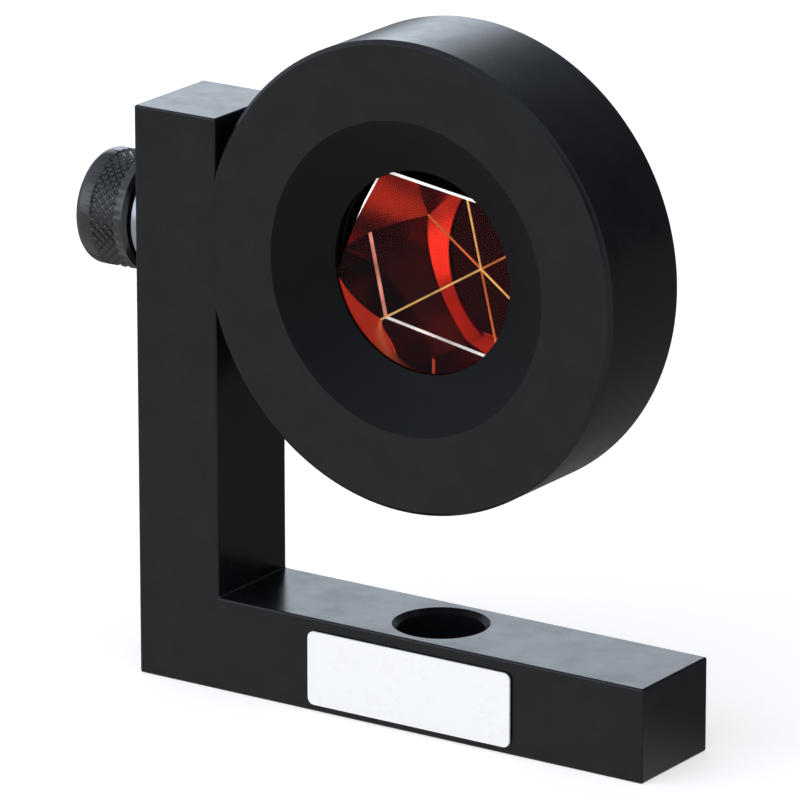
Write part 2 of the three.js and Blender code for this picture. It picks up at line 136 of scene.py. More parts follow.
def turned(name, profile, origin, axis, segments=128, closed=False, relief=None):
    """A lathe-turned piece. The profile lists (radius, distance along the axis) from the origin.
    A closed profile makes a ring; an open one starts and ends on the axis.
    relief(radius, along, turn) gives the true radius where a surface is knurled or threaded."""
    along, side, up = AXES[axis]
    build = bmesh.new()
    rows = []
    for radius, distance in profile:
        if radius < 1e-9:
            rows.append([build.verts.new(origin + along * distance)])
            continue
        row = []
        for i in range(segments):
            turn = i / segments
            r = relief(radius, distance, turn) if relief else radius
            angle = 2 * math.pi * turn
            spoke = side * math.cos(angle) + up * math.sin(angle)
            row.append(build.verts.new(origin + along * distance + spoke * r))
        rows.append(row)
    pairs = list(zip(rows, rows[1:]))
    if closed:
        pairs.append((rows[-1], rows[0]))
    for first, second in pairs:
        for i in range(segments):
            j = (i + 1) % segments
            corners = [first[i % len(first)], first[j % len(first)]]
            corners += [second[j % len(second)], second[i % len(second)]]
            unique = list(dict.fromkeys(corners))
            if len(unique) > 2:
                build.faces.new(unique)
    bmesh.ops.recalc_face_normals(build, faces=build.faces)
    return built(name, build)


def extruded(name, outline, start, end):
    """A flat outline of (x, z) points, drawn out along Y from start to end."""
    build = bmesh.new()
    face = build.faces.new([build.verts.new((x, start, z)) for x, z in outline])
    body = bmesh.ops.extrude_face_region(build, geom=[face])
    moved = [v for v in body["geom"] if isinstance(v, bmesh.types.BMVert)]
    bmesh.ops.translate(build, verts=moved, vec=(0, end - start, 0))
    bmesh.ops.recalc_face_normals(build, faces=build.faces)
    return built(name, build)


def cut(obj, cutter):
    """Takes the cutter out of the object, and deletes the cutter."""
    boolean = obj.modifiers.new("cut", "BOOLEAN")
    boolean.operation = "DIFFERENCE"
    boolean.solver = "EXACT"
    boolean.object = cutter
    bpy.context.view_layer.update()
    apply_modifiers(obj)
    bpy.data.objects.remove(cutter)
    return obj


def bevel(obj, width, segments=3, angle=40):
    tool = obj.modifiers.new("bevel", "BEVEL")
    tool.width = width
    tool.segments = segments
    tool.limit_method = "ANGLE"
    tool.angle_limit = math.radians(angle)
    tool.harden_normals = False
    return apply_modifiers(obj)


def box_cutter(low, high):
    build = bmesh.new()
    bmesh.ops.create_cube(build, size=1)
    low, high = Vector(low), Vector(high)
    for vertex in build.verts:
        vertex.co = Vector([(low[k] + high[k]) / 2 + vertex.co[k] * (high[k] - low[k]) for k in range(3)])
    return built("cutter", build)


# ---------------------------------------------------------------- materials

def new_material(name):
    material = bpy.data.materials.new(name)
    material.use_nodes = True
    tree = material.node_tree
    shader = tree.nodes["Principled BSDF"]
    return material, tree, shader


def link_noise(tree, scale, detail=4, roughness=0.6):
    coordinates = tree.nodes.new("ShaderNodeTexCoord")
    noise = tree.nodes.new("ShaderNodeTexNoise")
    noise.inputs["Scale"].default_value = scale
    noise.inputs["Detail"].default_value = detail
    noise.inputs["Roughness"].default_value = roughness
    tree.links.new(coordinates.outputs["Object"], noise.inputs["Vector"])
    return noise.outputs["Fac"]


def as_colour(value):
    return (value, value, value, 1) if isinstance(value, (int, float)) else (*value, 1)


def ramp(tree, factor, low, high, low_at=0.3, high_at=0.7):
    """A value between low and high, or a colour between two colours, by the factor."""
    node = tree.nodes.new("ShaderNodeValToRGB")
    node.color_ramp.elements[0].position = low_at
    node.color_ramp.elements[1].position = high_at
    node.color_ramp.elements[0].color = as_colour(low)
    node.color_ramp.elements[1].color = as_colour(high)
    tree.links.new(factor, node.inputs["Fac"])
    return node.outputs["Color"]


def smoothstep(tree, value, limits, results):
    """Goes smoothly from the first result to the second while the value crosses the limits."""
    node = tree.nodes.new("ShaderNodeMapRange")
    node.interpolation_type = "SMOOTHSTEP"
    node.inputs["From Min"].default_value = limits[0]
    node.inputs["From Max"].default_value = limits[1]
    node.inputs["To Min"].default_value = results[0]
    node.inputs["To Max"].default_value = results[1]
    tree.links.new(value, node.inputs["Value"])
    return node.outputs["Result"]


def link_bump(tree, shader, height, distance, strength=1.0):
    bump = tree.nodes.new("ShaderNodeBump")
    bump.inputs["Distance"].default_value = distance
    bump.inputs["Strength"].default_value = strength
    tree.links.new(height, bump.inputs["Height"])
    tree.links.new(bump.outputs["Normal"], shader.inputs["Normal"])


def black_anodised(name, low=(0.0035, 0.004, 0.0055), high=(0.006, 0.0065, 0.0085),
                   rough=(0.2, 0.3), specular=0.25, grain=0.9):
    """Satin black anodised aluminium with a fine blasted grain."""
    material, tree, shader = new_material(name)
    mottle = link_noise(tree, 220, detail=3)
    tree.links.new(ramp(tree, mottle, low, high), shader.inputs["Base Color"])
    tree.links.new(ramp(tree, mottle, rough[0], rough[1]), shader.inputs["Roughness"])
    shader.inputs["Specular IOR Level"].default_value = specular
    link_bump(tree, shader, link_noise(tree, 3200, detail=2), 0.004 * MM, grain)
    return material


def plain(name, colour, roughness, metallic=0.0, specular=0.5, grain_scale=2500, grain=0.003,
          vary=0.25):
    """One finish with a mottled colour, a varied roughness and a fine grain."""
    material, tree, shader = new_material(name)
    mottle = link_noise(tree, 350, detail=4)
    darker = tuple(c * (1 - vary) for c in colour)
    tree.links.new(ramp(tree, mottle, darker, colour), shader.inputs["Base Color"])
    tree.links.new(ramp(tree, mottle, roughness * 0.8, roughness * 1.2), shader.inputs["Roughness"])
    shader.inputs["Metallic"].default_value = metallic
    shader.inputs["Specular IOR Level"].default_value = specular
    link_bump(tree, shader, link_noise(tree, grain_scale, detail=2), grain * MM)
    return material


def clear_glass():
    """Optical glass. The dark specular tint stands for an anti-reflection coat."""
    material, tree, shader = new_material("polished_glass")
    shader.inputs["Base Color"].default_value = (1, 1, 1, 1)
    shader.inputs["Roughness"].default_value = 0
    shader.inputs["IOR"].default_value = 1.51
    shader.inputs["Transmission Weight"].default_value = 1
    shader.inputs["Specular Tint"].default_value = (0.1, 0.07, 0.12, 1)
    return material


def mirror_coat(name, colour, roughness):
    """A metal coat, seen through the glass that it is on."""
    material, tree, shader = new_material(name)
    mottle = link_noise(tree, 150, detail=3)
    darker = tuple(c * 0.85 for c in colour)
    tree.links.new(ramp(tree, mottle, darker, colour), shader.inputs["Base Color"])
    shader.inputs["Roughness"].default_value = roughness
    shader.inputs["Metallic"].default_value = 1
    return material


def glowing(name, colour, strength, roughness=0.4):
    """An edge in the glass that is lit a little by itself, to stand for the light it catches."""
    material, tree, shader = new_material(name)
    mottle = link_noise(tree, 260, detail=3)
    darker = tuple(c * 0.45 for c in colour)
    shade = ramp(tree, mottle, darker, colour)
    tree.links.new(shade, shader.inputs["Base Color"])
    tree.links.new(shade, shader.inputs["Emission Color"])
    shader.inputs["Emission Strength"].default_value = strength
    shader.inputs["Roughness"].default_value = roughness
    return material


ANODISED = black_anodised("black_anodised")
# Darker, duller black for the recess: painted shade, on a rougher finish.
SHADED_RECESS_BLACK = black_anodised("recess_black_painted_shade", (0.002, 0.0025, 0.0035), (0.0035, 0.004, 0.005),
                        rough=(0.5, 0.6), specular=0.11)
KNURL = black_anodised("knob_black", rough=(0.22, 0.32), specular=0.6, grain=0.5)
LABEL = plain("label_film", (1, 0.965, 0.93), 0.3, vary=0.02, grain=0.001)
STEEL = plain("turned_steel", (0.55, 0.55, 0.57), 0.28, metallic=1)
DARK_STEEL = plain("black_oxide_steel", (0.035, 0.035, 0.04), 0.3, metallic=0.9)
RUBBER = plain("rubber", (0.016, 0.016, 0.016), 0.7, grain=0.01)
ACETAL = plain("acetal", (0.66, 0.63, 0.54), 0.45, vary=0.1)
WASHER = plain("fibre_washer", (0.05, 0.045, 0.04), 0.8, grain=0.012)
POLISHED = plain("worn_washer", (0.3, 0.32, 0.35), 0.3, metallic=0.9, grain=0.001)
CAP = plain("knob_cap_plastic", (0.012, 0.012, 0.014), 0.55)
GLASS = clear_glass()
COPPER = mirror_coat("copper_mirror", (0.86, 0.33, 0.24), 0.0)
COPPER_BACK = plain("copper_lacquer", (0.5, 0.17, 0.07), 0.3, metallic=0.9)
RIM = mirror_coat("coated_barrel", (0.86, 0.3, 0.2), 0.22)
GOLD_EDGE_GLOW = glowing("gold_edge_glow", (0.95, 0.62, 0.2), 0.55)
WHITE_EDGE_GLOW = glowing("white_edge_glow", (1, 0.95, 0.92), 0.75)


def place(obj, body, nodes, material):
    """Gives the piece its finish, lets it ride on its body and hides the nodes that it takes the place of.
    """
    if material is not None:
        obj.data.materials.clear()
        obj.data.materials.append(material)
    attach(obj, body)
    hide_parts(*nodes)
    return obj


# ---------------------------------------------------------------- bar and label

BOLT_HOLE_R = 5.35 * MM
BOLT_HOLE_CHAMFER = 0.65 * MM
BOLT_HOLE_X = HOUSING_FRONT.x
BUSH_SEAT_R = 4.3 * MM
BUSH_FLANGE_SEAT_R = 5.6 * MM
BUSH_FLANGE_SEAT_DEPTH = 1.4 * MM
LABEL_CORNER_R = 0.9 * MM
LABEL_EDGE = 0.06 * MM


def make_bar():
    x0, x1, z1 = BAR_LOW.x, BAR_HIGH.x, BAR_HIGH.z
    outline = [(x0, 0), (x1, 0), (x1, BASE_THICKNESS), (x0 + UPRIGHT_WIDTH, BASE_THICKNESS),
               (x0 + UPRIGHT_WIDTH, z1), (x0, z1)]
    bar = bevel(extruded("bar", outline, BAR_LOW.y, BAR_HIGH.y), EDGE_ROUNDING)
    middle = (BAR_LOW.y + BAR_HIGH.y) / 2
    mouth_r = BOLT_HOLE_R + BOLT_HOLE_CHAMFER
    hole = [(0, -PAST), (mouth_r + PAST, -PAST), (mouth_r, 0), (BOLT_HOLE_R, BOLT_HOLE_CHAMFER),
            (BOLT_HOLE_R, BASE_THICKNESS - BOLT_HOLE_CHAMFER), (mouth_r, BASE_THICKNESS),
            (mouth_r + PAST, BASE_THICKNESS + PAST), (0, BASE_THICKNESS + PAST)]
    cut(bar, turned("cutter", hole, Vector((BOLT_HOLE_X, middle, 0)), "z"))
    step = UPRIGHT_WIDTH - BUSH_FLANGE_SEAT_DEPTH
    seat = [(0, -PAST), (BUSH_SEAT_R, -PAST), (BUSH_SEAT_R, step), (BUSH_FLANGE_SEAT_R, step),
            (BUSH_FLANGE_SEAT_R, UPRIGHT_WIDTH + PAST), (0, UPRIGHT_WIDTH + PAST)]
    cut(bar, turned("cutter", seat, PIVOT, "x", segments=96))
    return smooth(bar)


place(make_bar(), "bracket", ["l_bracket"], ANODISED)


def make_label():
    """The white plate, left plain: no lettering is drawn on it."""
    low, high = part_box("label_plate")
    corners = [(low.x, low.z), (high.x, low.z), (high.x, high.z), (low.x, high.z)]
    outline = rounded(corners, {i: LABEL_CORNER_R for i in range(4)}, steps=8)
    return smooth(bevel(extruded("label", outline, high.y, low.y), LABEL_EDGE, segments=2))


place(make_label(), "bracket", ["label_plate"], LABEL)


# ---------------------------------------------------------------- housing

RIM_CHAMFER = 0.5 * MM
RECESS_R = 19.35 * MM
RECESS_DEPTH = 3.7 * MM
WINDOW_R = 12.5 * MM
LIP_THICKNESS = 0.2 * MM
GLASS_SEAT_R = 13 * MM
GLASS_SEAT_DEPTH = 0.8 * MM
CELL_R = 14.9 * MM
GROOVE_INNER_R, GROOVE_OUTER_R, GROOVE_DEPTH = 15.6 * MM, 17 * MM, 0.9 * MM
SPOT_FACE_R, SPOT_FACE_X = 5.9 * MM, 13.5 * MM
INSERT_BORE_R, INSERT_BORE_X = 4 * MM, 22.1 * MM
TAPPED_R, TAPPED_DEPTH = 1.25 * MM, 4 * MM


def make_housing():
    """A turned disc with the recess in front, the glass's cell behind it and a seal groove, then
    flattened beside the upright and bored for the insert, its grub screw and the cup's screws."""
    depth, r, c = HOUSING_DEPTH, HOUSING_R, RIM_CHAMFER
    groove = depth - GROOVE_DEPTH
    lip = RECESS_DEPTH + LIP_THICKNESS
    seat = lip + GLASS_SEAT_DEPTH
    profile = [
        (RECESS_R, 0), (r - c, 0), (r, c), (r, depth - c), (r - c, depth),
        (GROOVE_OUTER_R, depth), (GROOVE_OUTER_R, groove), (GROOVE_INNER_R, groove), (GROOVE_INNER_R, depth),
        (CELL_R, depth), (CELL_R, seat), (GLASS_SEAT_R, seat), (GLASS_SEAT_R, lip),
        (WINDOW_R, lip), (WINDOW_R, RECESS_DEPTH),
    ]
    fillets = {0: 0.15 * MM, 1: 0.1 * MM, 2: 0.1 * MM, 3: 0.2 * MM, 4: 0.2 * MM, 14: 0.05 * MM}
    housing = turned("housing", rounded(profile, fillets, 3), HOUSING_FRONT, "y", 256, closed=True)
    cut(housing, box_cutter((BAR_LOW.x, HOUSING_LOW.y - r, 0), (HOUSING_LOW.x, HOUSING_HIGH.y + r, 4 * r)))
    before = 10 * MM
    bore = [(0, before), (SPOT_FACE_R, before), (SPOT_FACE_R, SPOT_FACE_X), (INSERT_BORE_R, SPOT_FACE_X),
            (INSERT_BORE_R, INSERT_BORE_X), (0, INSERT_BORE_X)]
    cut(housing, turned("cutter", bore, PIVOT, "x", segments=96))
    low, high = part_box("insert_set_screw")
    centre = Vector(((low.x + high.x) / 2, 0, (low.z + high.z) / 2))
    start, end = low.y - 2 * MM, HOUSING_HIGH.y + PAST
    hole_r = (high.x - low.x) / 2 + GAP
    hole = [(0, start), (hole_r, start), (hole_r, end), (0, end)]
    cut(housing, turned("cutter", hole, centre, "y", segments=48))
    for node in CUP_SCREWS:
        low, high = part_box(node)
        centre = Vector(((low.x + high.x) / 2, HOUSING_BACK.y, (low.z + high.z) / 2))
        tapped = [(0, -TAPPED_DEPTH), (TAPPED_R, -TAPPED_DEPTH), (TAPPED_R, PAST), (0, PAST)]
        cut(housing, turned("cutter", tapped, centre, "y", segments=32))
    return smooth(housing)


def paint_recess(housing):
    """The conical recess gets a rougher, matt black, with a darker colour and a weaker sheen that paint in
    its shade.
    """
    housing.data.materials.clear()
    housing.data.materials.append(ANODISED)
    housing.data.materials.append(SHADED_RECESS_BLACK)
    for face in housing.data.polygons:
        out = math.hypot(face.center.x - HOUSING_FRONT.x, face.center.z - HOUSING_FRONT.z)
        deep = face.center.y - HOUSING_FRONT.y
        if out < RECESS_R and 1e-6 < deep < HOUSING_DEPTH * 0.9:
            face.material_index = 1


HOUSING = make_housing()
paint_recess(HOUSING)
place(HOUSING, "prism_head", ["prism_housing"], None)


# ---------------------------------------------------------------- corner cube

GLASS_LOW, GLASS_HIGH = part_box("glass_prism")
GLASS_R = 12.7 * MM
GLASS_CHAMFER = 0.25 * MM
GLASS_FINISHES = [GLASS, RIM, COPPER, GOLD_EDGE_GLOW, WHITE_EDGE_GLOW]
FRONT, BARREL, COATED, GOLD_GLOW, WHITE_GLOW = range(len(GLASS_FINISHES))
EDGE_BEVEL = 0.12 * MM
BACK_EDGE_ANGLES = [math.radians(a) for a in (90, 210, 330)]
# The corner's turn away from a centred one, as a rotation vector, and where its apex is.
CORNER_LEAN = Vector([math.radians(a) for a in (-4.9, -3.2, 5.7)])
CORNER_APEX = Vector((HOUSING_FRONT.x + 0.74 * MM, GLASS_HIGH.y, HOUSING_FRONT.z - 2.17 * MM))
# Flats on the glass's front edge: direction in degrees and distance from the middle.
FRONT_CHORDS = [(150, 11.2 * MM), (82, 10.95 * MM)]
FRONT_BEVEL = 0.3 * MM
FRONT_BEVEL_SLOPE = 0.4
# The self-lit white band on one back face, a painted highlight, along a line given from the middle of the
# glass's front.
BAND_FROM = Vector((-3.74, 8.0, -8.9)) * MM
BAND_TO = Vector((5.26, 6.23, -10.01)) * MM
BAND_WIDTH = 0.5 * MM
COAT_START = 2.6 * MM
COAT_INNER, COAT_OUTER = 0.15 * MM, 0.45 * MM
PAD_INNER_R, PAD_DEPTH, PAD_WIDTH = 2 * MM, 6 * MM, 6 * MM
# Each pad's direction in degrees and its start, counted from the housing's front.
PADS = [(269.5, 15.5 * MM), (157.7, 9.6 * MM), (32.2, 9.6 * MM)]


def corner_normals():
    """Outward directions of the cube corner's three back faces; the corner leans a little."""
    lean = Quaternion(CORNER_LEAN.normalized(), CORNER_LEAN.length)
    normals = []
    for angle in BACK_EDGE_ANGLES:
        middle = -Vector((math.cos(angle), 0, math.sin(angle)))
        normals.append(lean @ (middle * math.sqrt(2 / 3) + Vector((0, 1, 0)) * math.sqrt(1 / 3)))
    return normals


def slice_off(build, point, normal, material_index):
    """Cuts a convex solid with a plane, drops what is in front of it and closes the cut."""
    geometry = build.verts[:] + build.edges[:] + build.faces[:]
    made = bmesh.ops.bisect_plane(build, geom=geometry, plane_co=point, plane_no=normal, clear_outer=True)
    edges = [e for e in made["geom_cut"] if isinstance(e, bmesh.types.BMEdge)]
    for face in bmesh.ops.contextual_create(build, geom=edges)["faces"]:
        face.material_index = material_index


def corner_solid(name, profile, clearance, segments=192):
    """A turned blank cut down to the cube's corner, its back faces moved out by the clearance."""
    centre = Vector((HOUSING_FRONT.x, 0, HOUSING_FRONT.z))
    solid = turned(name, profile, centre, "y", segments)
    build = bmesh.new()
    build.from_mesh(solid.data)
    for normal in corner_normals():
        slice_off(build, CORNER_APEX + normal * clearance, normal, COATED)
    return solid, build


def close_mesh(obj, build):
    bmesh.ops.recalc_face_normals(build, faces=build.faces)
    build.to_mesh(obj.data)
    build.free()
    return obj


def make_prism():
    """A cube's corner, cut round: polished front, coated barrel, three mirrored back faces."""
    front, past = GLASS_LOW.y, GLASS_HIGH.y + 2 * MM
    profile = [(0, front), (GLASS_R - GLASS_CHAMFER, front), (GLASS_R, front + GLASS_CHAMFER),
               (GLASS_R, past), (0, past)]
    prism, build = corner_solid("corner_cube", profile, 0)
    for material in GLASS_FINISHES:
        prism.data.materials.append(material)
    for face in build.faces:
        behind_front = face.calc_center_median().y >= front + GLASS_CHAMFER * 0.2
        if face.material_index == FRONT and behind_front:
            face.material_index = BARREL
    normals = corner_normals()
    for first, second in ((0, 1), (1, 2), (2, 0)):
        between = (normals[first] + normals[second]).normalized()
        # The bevels along the three back edges glow gold: painted light for what the edges catch.
        slice_off(build, CORNER_APEX - between * EDGE_BEVEL, between, GOLD_GLOW)
    build.normal_update()
    centre = Vector((HOUSING_FRONT.x, front, HOUSING_FRONT.z))
    for direction, distance in FRONT_CHORDS:
        angle = math.radians(direction)
        out = Vector((math.cos(angle), 0, math.sin(angle)))
        slice_off(build, centre + out * distance, out, BARREL)
        slope = out * FRONT_BEVEL_SLOPE - Vector((0, 1, 0))
        # The bevel along each front flat glows white: a painted highlight.
        slice_off(build, centre + out * (distance - FRONT_BEVEL), slope, WHITE_GLOW)
    mark_band(build, centre, normals[0])
    return smooth(close_mesh(prism, build), 20)


def mark_band(build, centre, normal):
    """A narrow band across one back face, drawn in the self-lit white finish: a painted highlight."""
    across = (BAND_TO - BAND_FROM).cross(normal).normalized()
    middle = centre + BAND_TO
    for side in (-1, 1):
        faces = [f for f in build.faces if f.material_index == COATED and f.normal.dot(normal) > 0.999]
        edges = list({e for f in faces for e in f.edges})
        verts = list({v for f in faces for v in f.verts})
        at = middle + across * (side * BAND_WIDTH / 2)
        bmesh.ops.bisect_plane(build, geom=verts + edges + faces, plane_co=at, plane_no=across)
    for face in build.faces:
        off = abs((face.calc_center_median() - middle).dot(across))
        if face.material_index == COATED and face.normal.dot(normal) > 0.999 and off < BAND_WIDTH / 2:
            face.material_index = WHITE_GLOW


def make_coating():
    """The copper coat and its lacquer, as one shell behind the three back faces."""
    start, past = GLASS_LOW.y + COAT_START, GLASS_HIGH.y + 2 * MM
    blank = [(0, start), (GLASS_R, start), (GLASS_R, past), (0, past)]
    coating, build = corner_solid("copper_coat", blank, COAT_OUTER)
    close_mesh(coating, build)
    far, before = GLASS_R + 5 * MM, start - 9 * MM
    core = [(0, before), (far, before), (far, past), (0, past)]
    inside, build = corner_solid("cutter", core, COAT_INNER)
    return smooth(cut(coating, close_mesh(inside, build)), 20)


def make_pad(name, direction, start):
    """A rubber wedge between one coated face and the cup's wall."""
    y = HOUSING_FRONT.y + start
    pad = box_cutter((PAD_INNER_R, y, -PAD_WIDTH / 2), (GLASS_R - GAP, y + PAD_DEPTH, PAD_WIDTH / 2))
    turn = Matrix.Rotation(math.radians(-direction), 4, "Y")
    pad.data.transform(Matrix.Translation(Vector((HOUSING_FRONT.x, 0, HOUSING_FRONT.z))) @ turn)
    pad.name = name
    far, past = GLASS_R + 5 * MM, GLASS_HIGH.y + 3 * MM
    core = [(0, HOUSING_FRONT.y), (far, HOUSING_FRONT.y), (far, past), (0, past)]
    inside, build = corner_solid("cutter", core, COAT_OUTER + GAP)
    cut(pad, close_mesh(inside, build))
    return smooth(bevel(pad, 0.22 * MM, segments=3, angle=35))


place(make_prism(), "prism_head", ["glass_prism"], None)
place(make_coating(), "prism_head", ["copper_coating"], COPPER_BACK)
for k, (direction, start) in enumerate(PADS):
    pad = make_pad(f"rubber_pad_{k + 1}", direction, start)
    place(pad, "prism_head", [f"prism_pad_{k + 1}"], RUBBER)


# ---------------------------------------------------------------- clamp knob

KNOB_R = (KNOB_HIGH.z - KNOB_LOW.z) / 2
KNURLS = 36
KNURL_PITCH = 1.2 * MM
KNURL_DEPTH = 0.3 * MM
KNURL_FROM = 2.4 * MM
KNURL_TO = 6.2 * MM
KNURL_FADE = 0.3 * MM
HEAD_POCKET_R = 4.55 * MM
THREAD_R = 2.5 * MM
BORE_R = THREAD_R + GAP


def knurl(radius, along, turn):
    """Diamond knurl: pyramids left standing between two crossing families of grooves."""
    start, end = KNOB_LOW.x + KNURL_FROM, KNOB_LOW.x + KNURL_TO
    if radius < KNOB_R - 0.02 * MM or not start <= along <= end:
        return radius
    fade = min(1, (along - start) / KNURL_FADE, (end - along) / KNURL_FADE)
    turns = turn * KNURLS
    lead = (along - start) / KNURL_PITCH
    crests = [1 - abs((phase % 1) * 2 - 1) for phase in (turns + lead, turns - lead)]
    height = min(1, 1.35 * min(crests))
    return radius - KNURL_DEPTH * (1 - height) * fade


def make_knob():
    """A ring with a pocket for the screw's head, rounded outside and chamfered at the washer."""
    left, right = KNOB_LOW.x, KNOB_HIGH.x
    floor = right - 1.2 * MM
    rounding, edge = 1.1 * MM, 0.5 * MM
    step = KNURL_PITCH / 8
    count = int(round((KNURL_TO - KNURL_FROM) / step))
    flank = [(KNOB_R, left + KNURL_FROM + i * step) for i in range(count + 1)]
    outer = rounded([(HEAD_POCKET_R, left), (KNOB_R, left), (KNOB_R, right)], {1: rounding}, 8)[:-1]
    profile = outer + flank + [(KNOB_R, right - edge), (KNOB_R - edge, right), (BORE_R, right),
                               (BORE_R, floor), (HEAD_POCKET_R, floor)]
    origin = Vector((0, PIVOT.y, PIVOT.z))
    return smooth(turned("knob", profile, origin, "x", KNURLS * 8, closed=True, relief=knurl), 40)


place(make_knob(), "knob", ["clamp_knob"], KNURL)


# ---------------------------------------------------------------- clamp screw, insert and what they bear on

THREAD_DEPTH = 0.4 * MM
THREAD_PITCH = 0.8 * MM
THREAD_START = 13 * MM
HEAD_R = 4.25 * MM


def box_places(node):
    """Where a node starts and ends along X, counted from the bar's left face."""
    low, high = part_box(node)
    return low.x - BAR_LOW.x, high.x - BAR_LOW.x


def helix(pitch, along, turn):
    """0 in the thread's grooves, 1 on its crests."""
    phase = (along / pitch - turn) % 1
    return min(1, 1.25 * (1 - abs(2 * phase - 1)))


def thread_rows(start, end, pitch):
    """Places along a thread, eight to a turn."""
    count = int(round((end - start) / (pitch / 8)))
    return [start + (end - start) * i / count for i in range(count + 1)]


def socket_cutter(origin, axis, radius, start, end):
    profile = [(0, start), (radius, start), (radius, end), (0, end)]
    return turned("cutter", profile, origin, axis, segments=6)


def make_clamp_screw():
    start, end = box_places("clamp_screw")
    head_end = box_places("clamp_knob")[1] - 1.5 * MM
    chamfer = 0.25 * MM

    def relief(radius, along, turn):
        if along < THREAD_START or radius < THREAD_R - 0.01 * MM:
            return radius
        fade = min(1, (along - THREAD_START) / THREAD_PITCH)
        return radius - THREAD_DEPTH * fade * (1 - helix(THREAD_PITCH, along, turn))

    tip = end - 0.35 * MM
    flank = [(THREAD_R, x) for x in thread_rows(THREAD_START, tip, THREAD_PITCH)]
    profile = [(0, start), (HEAD_R - chamfer, start), (HEAD_R, start + chamfer), (HEAD_R, head_end),
               (THREAD_R, head_end)] + flank + [(THREAD_R - THREAD_DEPTH, end), (0, end)]
    screw = turned("hex_socket_screw", profile, PIVOT, "x", 72, relief=relief)
    cut(screw, socket_cutter(PIVOT, "x", 2 * MM, start - PAST, start + 2 * MM))
    return smooth(screw, 38)


def make_cap():
    start, end = box_places("knob_cap")
    face_r, slope = 3.6 * MM, 0.5 * MM
    profile = [(0, start), (face_r, start), (HEAD_R, start + slope), (HEAD_R, end), (0, end)]
    profile = rounded(profile, {1: 0.3 * MM, 2: 0.15 * MM, 3: 0.1 * MM}, 4)
    return smooth(turned("socket_cap", profile, PIVOT, "x", 128), 40)


def make_ring(name, node, inner, outer, edge=0.12 * MM, segments=160):
    """A flat washer with slightly rounded edges."""
    start, end = box_places(node)
    profile = [(inner, start), (outer, start), (outer, end), (inner, end)]
    profile = rounded(profile, {i: edge for i in range(4)}, 3)
    return smooth(turned(name, profile, PIVOT, "x", segments, closed=True), 40)


def make_bush():
    start, end = box_places("pivot_bush")
    body_r, flange_r = 4 * MM, 5.3 * MM
    step = end - 0.8 * MM
    profile = [(BORE_R, start), (body_r, start), (body_r, step), (flange_r, step), (flange_r, end),
               (BORE_R, end)]
    profile = rounded(profile, {0: 0.2 * MM, 1: 0.3 * MM, 3: 0.1 * MM, 4: 0.15 * MM, 5: 0.2 * MM}, 3)
    return smooth(turned("flanged_bush", profile, PIVOT, "x", 128, closed=True), 40)


def make_insert():
    start, end = box_places("thread_insert")
    lead, outer, chamfer = 0.4 * MM, 3.7 * MM, 0.2 * MM
    deep = BORE_R + THREAD_DEPTH

    def relief(radius, along, turn):
        if radius > deep - 0.01 * MM or not start + lead <= along <= end - lead:
            return radius
        return radius + THREAD_DEPTH * helix(THREAD_PITCH, along, turn)

    flank = [(BORE_R + 0.001 * MM, x) for x in thread_rows(start + lead, end - lead, THREAD_PITCH)]
    profile = [(outer - chamfer, end), (outer, end - chamfer), (outer, start + chamfer),
               (outer - chamfer, start), (BORE_R, start)] + flank + [(BORE_R, end)]
    return smooth(turned("steel_insert", profile, PIVOT, "x", 72, closed=True, relief=relief), 38)


def make_small_screw(name, node, head, shank_r, socket_r, socket_depth, segments=40):
    """A screw along Y with a hexagon socket.
    Its head is (radius, height, chamfer), or None for a grub screw."""
    low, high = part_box(node)
    centre = Vector(((low.x + high.x) / 2, 0, (low.z + high.z) / 2))
    pitch, groove = 0.4 * MM, 0.1 * MM
    thread_end = high.y - (head[1] if head else 0) - 0.4 * MM

    def relief(radius, along, turn):
        if abs(radius - shank_r) > 0.01 * MM or not low.y + pitch <= along <= thread_end:
            return radius
        return radius - groove * (1 - helix(pitch, along, turn))

    profile = [(0, low.y), (shank_r - 0.2 * MM, low.y)]
    profile += [(shank_r, y) for y in thread_rows(low.y + 0.2 * MM, thread_end, pitch)]
    if head:
        radius, height, chamfer = head
        neck = high.y - height
        top = [(shank_r, neck), (radius, neck), (radius, high.y - chamfer), (radius - chamfer, high.y)]
        profile += rounded(top + [(0, high.y)], {2: 0.1 * MM, 3: 0.1 * MM}, 3)
    else:
        profile += [(shank_r, high.y - 0.15 * MM), (shank_r - 0.15 * MM, high.y), (0, high.y)]
    screw = turned(name, profile, centre, "y", segments, relief=relief)
    cut(screw, socket_cutter(centre, "y", socket_r, high.y - socket_depth, high.y + PAST))
    return smooth(screw, 38)


place(make_clamp_screw(), "knob", ["clamp_screw"], STEEL)
place(make_cap(), "knob", ["knob_cap"], CAP)
place(make_ring("polished_washer", "thrust_washer", BORE_R, 6.6 * MM), "knob_carriage", ["thrust_washer"],
      POLISHED)
place(make_bush(), "bracket", ["pivot_bush"], ACETAL)
place(make_ring("fibre_disc", "friction_washer", BORE_R, 5.4 * MM), "prism_head", ["friction_washer"],
      WASHER)
place(make_insert(), "prism_head", ["thread_insert"], STEEL)
grub = make_small_screw("grub_screw", "insert_set_screw", None, 1.25 * MM, 0.75 * MM, 1.2 * MM)
place(grub, "prism_head", ["insert_set_screw"], DARK_STEEL)


# ---------------------------------------------------------------- seals, rear cup and its screws

def make_seal(name, middle_r, depth, section_r, steps=24):
    """A round-section ring about the housing's axis."""
    section = []
    for k in range(steps):
        angle = 2 * math.pi * k / steps
        section.append((middle_r + section_r * math.cos(angle), depth + section_r * math.sin(angle)))
    return smooth(turned(name, section, HOUSING_FRONT, "y", 160, closed=True), 60)


